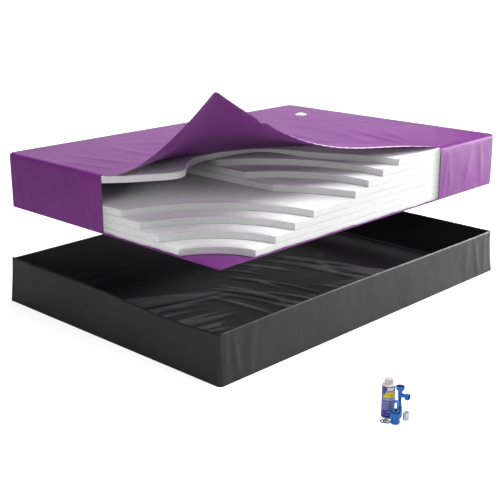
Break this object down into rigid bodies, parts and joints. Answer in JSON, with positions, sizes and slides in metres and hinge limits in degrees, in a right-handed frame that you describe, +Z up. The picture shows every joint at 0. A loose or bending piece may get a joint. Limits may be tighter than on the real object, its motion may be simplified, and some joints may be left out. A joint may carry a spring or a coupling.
{
  "type": "waterbed",
  "caption": "Waterbed set: a cutaway fibre mattress held over its stand-up safety liner, with a screw valve, a conditioner bottle and a fill and drain kit.",
  "frame": {"origin": "on the floor under the middle of the liner", "axes": "+Z up, +Y towards the head end of the bed, +X towards the side where the fill kit stands"},
  "size_m": [2.2467, 2.134, 1.1709],
  "materials": {
    "liner_film": "satin black film",
    "mattress_vinyl": "satin purple vinyl",
    "fibre": "matt white fibre wadding",
    "valve_plastic": "white moulded vinyl",
    "cap_plastic": "off-white moulded plastic",
    "rubber_black": "matt black rubber",
    "bottle_plastic": "white blown plastic",
    "label_film": "printed film in indigo",
    "blue_plastic": "blue moulded plastic",
    "seal_foil": "foil",
    "foam": "white foam",
    "adapter_white": "white moulded plastic"
  },
  "bodies": {
    "liner_and_kit": {"liner_floor": "liner_film", "liner_wall_left": "liner_film", "liner_wall_right": "liner_film", "liner_wall_foot": "liner_film", "liner_wall_head": "liner_film", "liner_corner_foot_left": "liner_film", "liner_corner_foot_right": "liner_film", "liner_corner_head_left": "liner_film", "liner_corner_head_right": "liner_film", "bottle_body": "bottle_plastic", "bottle_label": "label_film", "bottle_seal": "seal_foil", "pump_body": "blue_plastic", "pump_jet": "blue_plastic", "pump_o_ring": "rubber_black", "pump_tap_washer": "rubber_black", "adapter_cage": "blue_plastic", "adapter_o_ring": "rubber_black", "adapter_washer": "rubber_black", "thread_adapter": "adapter_white", "hose_washer_flat": "rubber_black", "hose_washer_leaning": "rubber_black"},
    "mattress": {"vinyl_bottom": "mattress_vinyl", "vinyl_top": "mattress_vinyl", "side_band_left": "mattress_vinyl", "side_band_right": "mattress_vinyl", "side_band_foot": "mattress_vinyl", "side_band_head": "mattress_vinyl", "side_band_foot_left": "mattress_vinyl", "side_band_head_left": "mattress_vinyl", "side_band_head_right": "mattress_vinyl", "top_edge_left": "mattress_vinyl", "top_edge_right": "mattress_vinyl", "top_edge_foot": "mattress_vinyl", "top_edge_head": "mattress_vinyl", "top_edge_foot_left": "mattress_vinyl", "top_edge_head_left": "mattress_vinyl", "top_edge_head_right": "mattress_vinyl", "fibre_sheet_1": "fibre", "fibre_sheet_2": "fibre", "fibre_sheet_3": "fibre", "fibre_sheet_4": "fibre", "fibre_sheet_5": "fibre", "fibre_sheet_6": "fibre", "fibre_sheet_7": "fibre", "fibre_sheet_8": "fibre", "valve_neck": "valve_plastic"},
    "valve_plug": {"valve_plug": "valve_plastic"},
    "valve_gasket": {"valve_gasket": "rubber_black"},
    "valve_cap": {"valve_cap": "valve_plastic"},
    "bottle_disc": {"bottle_cap_disc": "foam"},
    "bottle_cap": {"bottle_cap": "cap_plastic"},
    "tap_nut": {"pump_tap_nut": "blue_plastic"},
    "drain_collar": {"pump_drain_collar": "blue_plastic"},
    "adapter_nut": {"adapter_nut": "blue_plastic"},
    "hose_collar": {"adapter_hose_collar": "blue_plastic"}
  },
  "joints": [
    {"name": "mattress_lift", "type": "slide", "parent": "liner_and_kit", "child": "mattress", "axis": [0, 0, 1], "range_m": [-0.4917, 0]},
    {"name": "valve_plug_lift", "type": "slide", "parent": "mattress", "child": "valve_plug", "axis": [0, 0, 1], "range_m": [0, 0.025]},
    {"name": "valve_cap_rise", "type": "slide", "parent": "valve_plug", "child": "valve_gasket", "axis": [0, 0, 1], "range_m": [0, 0.0035]},
    {"name": "valve_cap_turn", "type": "hinge", "parent": "valve_gasket", "child": "valve_cap", "pos_m": [-0.43, 0.797, 0.77], "axis": [0, 0, 1], "range_deg": [0, 420]},
    {"name": "bottle_cap_rise", "type": "slide", "parent": "liner_and_kit", "child": "bottle_disc", "axis": [0, 0, 1], "range_m": [0, 0.017]},
    {"name": "bottle_cap_turn", "type": "hinge", "parent": "bottle_disc", "child": "bottle_cap", "pos_m": [1.40594, -0.80131, 0.15], "axis": [0, 0, 1], "range_deg": [0, 1440]},
    {"name": "tap_nut_turn", "type": "hinge", "parent": "liner_and_kit", "child": "tap_nut", "pos_m": [1.43813, -0.77058, 0.12], "axis": [0, 0, 1], "continuous": true},
    {"name": "drain_collar_turn", "type": "hinge", "parent": "liner_and_kit", "child": "drain_collar", "pos_m": [1.43813, -0.77058, 0.02], "axis": [0, 0, 1], "range_deg": [0, 90]},
    {"name": "adapter_nut_turn", "type": "hinge", "parent": "liner_and_kit", "child": "adapter_nut", "pos_m": [1.45762, -0.82386, 0.03], "axis": [0, 0, 1], "continuous": true},
    {"name": "hose_collar_turn", "type": "hinge", "parent": "liner_and_kit", "child": "hose_collar", "pos_m": [1.45762, -0.82386, 0.01], "axis": [0, 0, 1], "continuous": true}
  ],
  "couplings": [
    {"joint": "valve_cap_rise", "follows": "valve_cap_turn", "m_per_rad": 0.000477},
    {"joint": "bottle_cap_rise", "follows": "bottle_cap_turn", "m_per_rad": 0.000674}
  ]
}
